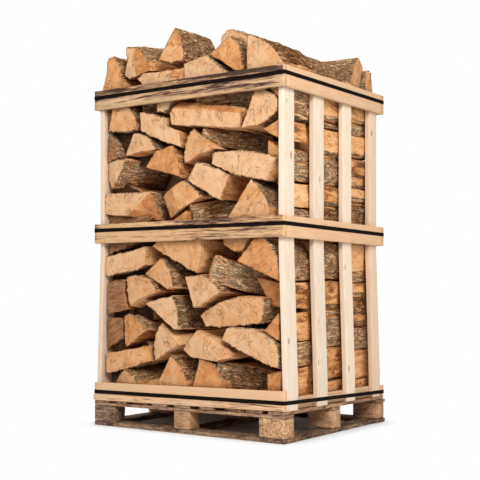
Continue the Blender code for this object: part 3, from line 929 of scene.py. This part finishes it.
FRONT_LOWER = (
    log(TAN, (-54, 15), (-29, 15), (-32, 24, 0.08), (-41, 30.5, 0.04), (-53, 22.5), lean=(11, 2), rind=GREY),
    log(TAN, (-21, 15), (2, 15), (0, 26, 0.07), (-11, 39), (-19, 25), rind=GREY),
    log(ORANGE, (1, 15), (22, 15), (22, 27, 0.07), (16, 35.5), (8, 37.5), rind=BROWN),
    log(TAN, (-55.4, 27.5, 0.02), (-24, 35), (-25.5, 43), (-55.4, 38), crease=(-30, 36, -10, 0.5, 0.35)),
    log(DULL, (-55.4, 40), (-44, 47, 0.1), (-44.5, 56.5), (-55.4, 57), back=1.5, rind=BROWN),
    log(ORANGE, (-41.5, 41.5), (-26.5, 51, 0.14), (-42, 58.5, 0.05), lean=(5, 0), rind=ROSY),
    log(PALE, (-22, 35.5), (-5, 44), (-16.5, 55, 0.14), lean=(3, 0)),
    log(
        PALE, (-4, 41.5), (2, 38), (18, 36.5), (26.5, 39), (27, 41.5), (14, 49), (5, 52),
        crease=(11, 45, 55, 0.45, 0.3),
    ),
    log(
        PALE, (21.5, 47.5, 0.02), (40, 39, 0.02), (54, 34.5, 0.05), (54, 46, 0.05), (43, 53, 0.03),
        (24.5, 53.5),
    ),
    log(ORANGE, (45, 52.5), (54.5, 47.5), (54.5, 61.4), back=1),
    log(DULL, (-55.4, 59), (-40, 61.5), (-43, 70), (-43, 77), (-55.4, 76), back=1.5),
    log(TAN, (-38.5, 63), (-19, 71.5, 0.13), (-31, 79.5, 0.05), (-42, 78.5, 0.05), lean=(3, -1)),
    log(PALE, (-28, 65), (-7.5, 51.5), (-5, 52, 0.09), (-10, 69), rind=MOSSY),
    log(PALE, (4, 62.5), (8, 63.5), (21, 70.5, 0.11), (9, 79.5), (-2.5, 78.5), lean=(4, -1)),
    log(TAN, (10, 53.5, 0.02), (45, 56, 0.05), (47, 68), (31, 68.5, 0.06), (7, 59), rind=ROSY),
    log(PALE, (-55.4, 79, 0.04), (-27, 84.5), (-27, 94), (-55.4, 89.5)),
    log(TAN, (-29, 80), (-13, 72), (-8.5, 73, 0.11), (-17, 88.5), lean=(3, 0), rind=BROWN),
    log(TAN, (-23, 94, 0.02), (6, 80), (9.5, 88), (9.5, 97), (-20, 97)),
    log(ORANGE, (31, 86), (54, 76, 0.15), (46, 97.5), (41, 97), rind=BROWN),
    log(DULL, (-53, 91, 0.04), (-34, 97), (-34, 104), (-54, 104), back=1),
    log(ORANGE, (22, 94), (28, 90.5), (33, 91), (37, 97), (36, 104), (20, 104), back=1.5),
    log(AMBER, (46, 65), (54, 63), (54, 75.5), (38, 78), back=6, short=4),
    log(ORANGE, (47, 17), (54, 17), (54, 33.5), (46, 32), back=3, short=3),
    log(TAN, (22.5, 15), (46.5, 15), (46.5, 19.5), (35, 21), (23, 20), back=2.5),
    crosswise(
        TAN, (12.5, 4, 82.5), (34, 27, 74.5), (-6, -6.7), (5.5, -6.7, 0.12), (4.5, 6.7, 0.04), (-6, 6.7),
        rind=BLEACHED,
    ),
    crosswise(
        PALE, (13.5, 6, 33), (34, 28, 26.5), (-6, -7.5), (3.5, -8, 0.14), (6, 4), (-4, 6.5),
        rind=MOSSY,
    ),
    log(IN_SHADOW, (-54.2, 20, 0.05), (-46, 24), (-38, 34), (-54.2, 30), back=4),
    log(IN_SHADOW, (-54.2, 35), (-44, 39), (-44.5, 46), (-54.2, 46), back=4.5),
    log(IN_SHADOW, (-54.2, 54), (-44, 55, 0.1), (-43, 63), (-54.2, 62), back=6),
    log(IN_SHADOW, (-54.2, 73), (-43, 76), (-30, 83, 0.05), (-54.2, 82), back=6),
    log(IN_SHADOW, (-54.2, 87), (-34, 93), (-36, 98), (-54.2, 93), back=6),
    log(IN_SHADOW, (-43, 37), (-30, 40), (-34, 45), (-44, 46), back=9),
    log(IN_SHADOW, (-44, 56), (-28, 56), (-30, 64), (-43, 66), back=9),
)
FRONT_UPPER = (
    log(TAN, (-55.4, 98, 0.04), (-31, 98), (-36, 106, 0.12), (-52, 107), back=6),
    log(TAN, (-28, 98), (-8, 98), (-14, 106), (-26, 107), back=3),
    log(ORANGE, (-14, 104), (2, 100), (1.5, 111), (-1, 112)),
    log(TAN, (4, 98), (24, 98), (22, 106), (6, 106), back=3),
    log(TAN, (24, 106.5), (50, 106.5), (50, 111, 0.08), (39, 125.5), rind=MOSSY),
    log(
        PALE, (-55.4, 112), (-22, 107.5, 0.04), (-25, 122.5), (-54, 122.5),
        crease=(-34, 115.5, -52, 0.5, 0.75), rind=ROSY,
    ),
    log(
        TAN, (-13, 108), (8, 118.5, 0.07), (-3, 127), (-11, 123.5), (-18, 120),
        crease=(-7, 115, 200, 0.35, 0.3),
    ),
    log(PALE, (0, 127, 0.02), (20, 116), (26, 128, 0.04), (5.5, 135.5)),
    log(PALE, (-55.4, 131), (-51, 125, 0.1), (-40, 140.5, 0.04), (-55.4, 139), lean=(9, 0), rind=ROSY),
    log(ORANGE, (-26.5, 135), (-15, 131.5), (-4, 128.5), (-5.5, 138), (-10, 145), (-21, 143)),
    log(PALE, (14.5, 134), (28, 128, 0.02), (48, 124), (54, 134, 0.03), (36, 139, 0.03), (15, 139.5)),
    log(DULL, (-55.4, 139), (-47, 141, 0.12), (-53, 154.5), back=1),
    log(PALE, (-42, 141.5), (-20, 144, 0.15), (-37, 153.5), lean=(4, -1)),
    log(TAN, (-2, 135), (16, 141.5), (3, 152.5, 0.16), lean=(3, 0)),
    log(ORANGE, (44.5, 148.5), (54.5, 143.5), (54.5, 153), back=1, short=4),
    log(ORANGE, (46, 135.5), (54, 133.5, 0.08), (53, 139.5), (46, 144), back=4),
    log(TAN, (49, 124.5), (53, 124.5, 0.12), (53.5, 133.5), back=9),
    log(PALE, (51.5, 112), (54.5, 112), (54.5, 123.5), (48, 124), back=9, short=3),
    log(TAN, (50.5, 98), (54.3, 98, 0.1), (54.3, 111), (50.5, 110), back=9),
    log(IN_SHADOW, (-54.2, 119), (-30, 119), (-38, 125), (-54.2, 130.5), back=5.5),
    log(DULL, (-54.2, 100), (-30, 106), (-26, 110), (-54.2, 113), back=3.5),
    log(IN_SHADOW, (-54.2, 150), (-44, 146), (-38, 156), (-54.2, 158.5), back=6),
    log(IN_SHADOW, (-50, 119), (-18, 119), (-16, 123), (-44, 123.5), back=11),
    log(IN_SHADOW, (-42, 138), (-26, 134), (-20, 142), (-40, 143), back=8),
    log(DULL, (-55.4, 157), (-53, 157), (-51.5, 166), (-55.4, 167), back=2),
    log(TAN, (-53, 156, 0.04), (-34, 155), (-33, 158.5, 0.06), (-39, 168.5), (-50, 168.5), rind=BROWN),
    log(
        PALE, (-30, 154, 0.02), (-12, 146), (-4, 143.5), (-5, 152), (-12.5, 155), (-16, 160, 0.03),
        (-31, 164),
    ),
    log(PALE, (-20.5, 163), (-16, 162.5, 0.1), (-11, 167), (-12, 172), (-20, 172), back=1),
    log(
        PALE, (-10, 155.5), (33, 150), (33, 160.6), (-8.5, 167.4), (-11.5, 161.5),
        crease=(12, 160.4, 81, 0.7, 0.75),
    ),
    log(PALE, (33, 150), (42, 150, 0.05), (54, 156, 0.05), (54, 162, 0.05), (46, 168), (40.5, 168)),
    log(TAN, (-54, 169.5), (-32, 169.5), (-32, 174.5), (-54, 174), back=2),
    log(TAN, (-28, 168), (-21, 173), (-28, 174.5), (-31, 170), back=2),
    log(ORANGE, (48, 168), (54.5, 163, 0.1), (54.5, 175), (42, 175), back=1.5),
    crosswise(
        ORANGE, (-36, 12, 167), (-8, 22, 168), (-5, -5), (5, -5, 0.15), (5, 5, 0.15), (-5, 5),
        rind=BROWN,
    ),
    crosswise(ORANGE, (2, 9, 168), (33, 16, 167), (-5, -5), (5, -5, 0.12), (5, 5), (-5, 5), rind=BROWN),
    crosswise(
        TAN, (5, 6, 150), (31, 29, 144), (-5, -5.5), (4.5, -5.5, 0.14), (4.5, 5, 0.06), (-5, 5),
        rind=MOSSY,
    ),
    crosswise(
        TAN, (-1.5, 5, 110), (14, 23, 113.5), (-4, -5), (4, -5, 0.14), (4, 4.5, 0.1), (-4, 4.5),
        rind=GREY,
    ),
)
FRONT_HEAP = (
    log(ORANGE, (-56.8, 177.2), (-42.5, 175), (-43, 182, 0.1), (-49.5, 195, 0.05), (-53.3, 194.4), rind=GREY),
    log(
        ORANGE, (-43.4, 184.5), (-40, 182.2), (-33, 183), (-24.5, 184.5), (-25, 189, 0.12),
        (-33, 198, 0.03), (-40.2, 198.2), (-40.2, 191), crease=(-34.6, 190, 180, 0.05, -0.8), rind=BROWN,
        lean=(0, 4.3),
    ),
    log(TAN, (-19, 189, 0.05), (-3, 187.5, 0.11), (-8, 205.3), crease=(-9, 195, 85, 0.05, 0.5), rind=GREY),
    log(
        PALE, (-27, 175.5), (-3.5, 175.5), (-3.5, 184), (-28.5, 183.5), (-32, 181),
        crease=(-12, 179, 10, 0.25, 0.5),
    ),
    log(PALE, (-3, 175), (24, 175), (23, 178.5, 0.03), (15, 186, 0.03), (11, 188.5), (-3, 185.5)),
    log(ORANGE, (14.5, 188), (29.2, 178.6), (33.2, 178), (33.6, 180, 0.12), (26.2, 196), rind=GREY),
    log(
        PALE, (14, 190), (34, 190), (34.5, 194.5, 0.03), (20.2, 201.7), (18.6, 201.7, 0.04), (13.6, 198),
        back=10,
    ),
    log(
        PALE, (35.4, 176), (56.2, 176), (57, 179, 0.12), (36.6, 194.6), rind=SHADY,
        crease=(46, 183, -20, 0.1, 0.35), short=-1.2,
    ),
)
CENTRE_HEAP = (
    log(TAN, (-54, 175), (-36, 175), (-35, 186, 0.1), (-49, 190), (-54, 186)),
    log(ORANGE, (-34, 175), (-15, 175), (-14, 188, 0.12), (-27, 193)),
    log(PALE, (-13, 175), (10, 175), (9, 189, 0.12), (-9, 192)),
    log(TAN, (12, 175), (33, 175), (32, 186, 0.1), (21, 192)),
    log(TAN, (35.5, 175.5), (53.5, 175.5, 0.05), (52.5, 180, 0.13), (37.5, 193.5), rind=GREY),
)
BACK_HEAP = (
    log(TAN, (-54, 175), (-38, 175), (-37, 184, 0.1), (-46, 192.5), (-54, 188), rind=GREY),
    log(ORANGE, (-36, 175), (-17, 175), (-16, 183.5), (-22, 190, 0.1), (-33, 188)),
    log(
        PALE, (-31, 189.5), (-22, 191.5), (-15, 188, 0.13), (-21, 201), (-28, 198.5), rind=BROWN,
        lean=(3, 0),
    ),
    log(TAN, (-15, 175), (6, 175), (5, 186, 0.1), (-6, 193), (-14, 187)),
    log(PALE, (8, 175), (24, 175), (24, 186, 0.12), (12, 190.5), rind=ROSY),
    log(TAN, (26, 175), (54, 175), (54, 180), (27, 181.5)),
    crosswise(
        TAN, (52.5, 13, 187.5), (20, 16, 188.5), (-7, -7), (9, -7, 0.14), (1, 8.5, 0.06), (-7, 5),
        rind=GREY,
    ),
    crosswise(TAN, (54.3, 5, 184.5), (25, 6, 184.5), (-2.2, -5), (2.2, -5, 0.1), (2, 5.5), (-2, 6.5)),
    crosswise(ORANGE, (54.3, 2.2, 184), (24, 2.4, 184), (-2, -5), (2, -5, 0.1), (1.6, 6), (-2, 6.5)),
)
# The logs at the crate's right side, row by row: each one's low and high Z, and whether bark shows there.
RIGHT_COLUMNS = {
    ("centre", "lower"): (
        (16, 25.5, 0), (26, 42, 0), (42.5, 58, 1), (58.5, 61.5, 1), (62, 76, 0), (76.5, 96, 1),
    ),
    ("centre", "upper"): (
        (97, 106, 0), (106.5, 114.5, 1), (114.6, 124.6, 0), (125, 139.5, 1), (140, 153, 0), (153.5, 157, 1),
        (157.5, 172, 0),
    ),
    ("back", "lower"): (
        (15, 24, 0), (24.5, 39.5, 0), (40, 52.5, 1), (53, 57.5, 0), (57.8, 68.4, 1), (68.5, 75.2, 0),
        (75.5, 80.3, 1), (80.5, 97, 0),
    ),
    ("back", "upper"): (
        (97, 106, 0), (106, 118.3, 1), (118.5, 124.7, 0), (124.8, 131.4, 0), (131.5, 141, 0), (143, 153.7, 0),
        (153.9, 160.6, 1), (160.8, 172, 0),
    ),
}  # fmt: skip
RIGHT_COLUMN_START = 39.0
UNDERCUTS = {"centre": 1.6, "back": 1.0}


def right_column(row, tier):
    """Logs along Y whose right sides stand at the crate's right-hand slats."""
    random = np.random.default_rng(17)
    logs = []
    for low, high, barked in RIGHT_COLUMNS[(row, tier)]:
        inner = RIGHT_COLUMN_START + random.uniform(-6.0, 4.0, 2)
        outer = 53.2 if barked else 54.6
        undercut = random.uniform(0.6, 1.9) * UNDERCUTS[row]
        strip = (0.05,) if random.uniform() < 0.65 else ()
        foot = [(outer - undercut, low + 0.1, *strip), (outer, low + undercut + 0.7)]
        if barked:
            foot = [(outer, low + 0.3, 0.09)]
        top = (outer, high - random.uniform(0.1, 0.5))
        shade = (TAN, ORANGE, ORANGE)[random.integers(3)]
        rind = (random.uniform(0.35, 0.8), random.uniform(0.0, 0.3), random.uniform(0.3, 0.9))
        bend = outer - 2.4
        under = ((inner[0], low - 0.9), (bend, low - 0.7))
        over = ((bend, high + 0.7), (inner[1], high + 0.9))
        logs.append(log(shade, *under, *foot, top, *over, rind=rind, short=random.uniform(0.0, 2.5)))
    return logs


FILL_LEVELS = {"lower": (15.5, 96.0), "upper": (97.5, 171.0)}
FILL_STARTS = (15.0, 27.5)


def fill_columns(tier):
    """Logs further in at the back row's right, behind the ends that show there."""
    random = np.random.default_rng(29)
    logs = []
    for start in FILL_STARTS:
        low, top = FILL_LEVELS[tier]
        while low < top - 6.0:
            high = min(low + random.uniform(8.0, 13.0), top)
            left, right, slope = random.uniform(0.0, 3.0, 3)
            shade = (PALE, TAN, ORANGE)[random.integers(3)]
            end = start + 12.0
            corners = ((start, low), (end, low), (end - right, high - slope, 0.1), (start + left, high))
            logs.append(log(shade, *corners, back=random.uniform(2.5, 5.0)))
            low = high + 0.4
    return logs


def without_right_column(layout, mirror):
    """The layout without the logs that would stand where the right column does."""
    limit = RIGHT_COLUMN_START + 3.0
    return [
        item for item in layout
        if max(end[0] * mirror for end in item["ends"] or item["corners"]) < limit
    ]  # fmt: skip


ROW_SEEDS = {"front": 100, "centre": 400, "back": 700}
TIER_SEEDS = {"lower": 0, "upper": 100, "heap": 200}


def lay_row(row, tier, layout, detail, facing=-1.0, rise=1.0, mirror=1.0, first=1):
    """Makes one tier of one row. facing is -1 where the first ends look to -Y, and 1 where to +Y.

    The layout is turned upside down where rise is -1, and has left and right changed over where mirror is -1.
    """
    node = f"logs_{row}_{tier}"
    low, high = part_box(node)
    face = low.y if facing < 0 else high.y
    across = -facing * mirror
    heights = [corner[1] for item in layout if not item["ends"] for corner in item["corners"]]
    flip = min(heights) + max(heights) if rise < 0 else 0.0

    def placed(x, depth, z):
        return np.array([x * mirror * CM, face - facing * depth * CM, (flip + rise * z) * CM])

    for number, item in enumerate(layout, first):
        seed = ROW_SEEDS[row] + TIER_SEEDS[tier] + number
        random = np.random.default_rng(seed + 5000)
        gap, short = random.uniform(0.0, 0.5), random.uniform(0.1, 1.0)
        drift = random.uniform(-0.4, 0.4, 2)
        x, z = 0.0, 0.0
        if item["ends"]:
            start, end = (placed(*place) for place in item["ends"])
        else:
            x, z = (sum(corner[axis] for corner in item["corners"]) / len(item["corners"]) for axis in (0, 1))
            start = placed(x, item["back"] + gap, z)
            end = placed(x, (high.y - low.y) / CM - short - item["short"], z)
            end[0] += (drift[0] + item["lean"][0] * mirror) * CM
            end[2] += (drift[1] + item["lean"][1] * rise) * CM
        corners = [
            (across * (corner[0] - x), rise * (corner[1] - z), *corner[2:]) for corner in item["corners"]
        ]
        if item["crease"]:
            crease_x, crease_z, *falling = item["crease"]
            item = {**item, "crease": (crease_x - x, crease_z - z, *falling) if row == "front" else None}
        make_log(f"log_{row}_{tier}_{number:02d}", node, corners, start, end, item, seed, detail)


def make_stack():
    for tier, layout in (("lower", FRONT_LOWER), ("upper", FRONT_UPPER)):
        lay_row("front", tier, layout, FINE)
        hidden = without_right_column(layout, -1.0)
        lay_row("centre", tier, hidden, COARSE, mirror=-1.0)
        lay_row("centre", tier, right_column("centre", tier), EVEN, first=len(hidden) + 1)
        shown = without_right_column(layout, 1.0)
        lay_row("back", tier, shown, PLAIN, facing=1.0, rise=-1.0)
        beside = [*right_column("back", tier), *fill_columns(tier)]
        lay_row("back", tier, beside, PLAIN, facing=1.0, first=len(shown) + 1)
    lay_row("front", "heap", FRONT_HEAP, EVEN)
    lay_row("centre", "heap", CENTRE_HEAP, EVEN)
    lay_row("back", "heap", BACK_HEAP, EVEN, facing=1.0)


# ---- Studio ----

CAMERA_TURN = math.radians(35.1)
CAMERA_PLACE = (3.161, -4.505, 0.743)
LIGHT_TARGET = Vector((0.0, 0.0, 1.0))
SKY_STRENGTH = 0.30
FLOOR_REACH = 60.0


def make_camera():
    data = bpy.data.cameras.new("camera")
    data.lens = 76.65
    data.sensor_width = 36.0
    data.shift_y = 0.09375
    camera = in_scene("camera", data)
    camera.location = CAMERA_PLACE
    camera.rotation_euler = (math.radians(90.0), 0.0, CAMERA_TURN)
    bpy.context.scene.camera = camera


def make_lamp(name, azimuth, elevation, distance, size, brightness):
    """A round soft lamp, aimed at the middle of the object.

    azimuth runs from -Y towards +X, in degrees, and brightness is what the lamp adds to white.
    """
    turn, rise = math.radians(azimuth), math.radians(elevation)
    way = Vector((math.cos(rise) * math.sin(turn), -math.cos(rise) * math.cos(turn), math.sin(rise)))
    data = bpy.data.lights.new(name, "AREA")
    data.shape = "DISK"
    data.size = size
    data.energy = brightness * (math.pi * distance) ** 2
    lamp = in_scene(name, data)
    lamp.location = LIGHT_TARGET + way * distance
    lamp.rotation_euler = (-way).to_track_quat("-Z", "Y").to_euler()


def make_studio():
    world = bpy.data.worlds.new("studio")
    world.use_nodes = True
    nodes, links = world.node_tree.nodes, world.node_tree.links
    background = nodes["Background"]
    background.inputs["Color"].default_value = (1.0, 1.0, 1.0, 1.0)
    strength = nodes.new("ShaderNodeMapRange")
    strength.inputs["To Min"].default_value = SKY_STRENGTH
    strength.inputs["To Max"].default_value = 1.0
    links.new(nodes.new("ShaderNodeLightPath").outputs["Is Camera Ray"], strength.inputs["Value"])
    links.new(strength.outputs[0], background.inputs["Strength"])
    bpy.context.scene.world = world
    bpy.context.scene.view_settings.view_transform = "Standard"
    make_lamp("key", 46.0, 28.0, 5.5, 2.2, 0.72)
    make_lamp("front", -10.0, 30.0, 5.0, 2.6, 0.26)
    make_lamp("side", 85.0, 20.0, 5.0, 2.6, 0.17)
    make_lamp("back", 226.0, 32.0, 5.5, 3.0, 0.36)
    mesh = bpy.data.meshes.new("floor")
    corners = [(x * FLOOR_REACH, y * FLOOR_REACH, 0.0) for x, y in ((-1, -1), (1, -1), (1, 1), (-1, 1))]
    mesh.from_pydata(corners, [], [(0, 1, 2, 3)])
    mesh.materials.append(pale_floor())
    floor = in_scene("floor", mesh)


make_camera()
make_studio()
make_boards()
make_nails()
STRAP_MATERIAL = black_strap()
for strap in ("strap_foot", "strap_middle", "strap_top"):
    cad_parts[strap].data.materials[0] = STRAP_MATERIAL
LOG_MATERIALS = [bark(), split_wood(), end_grain()]
make_stack()
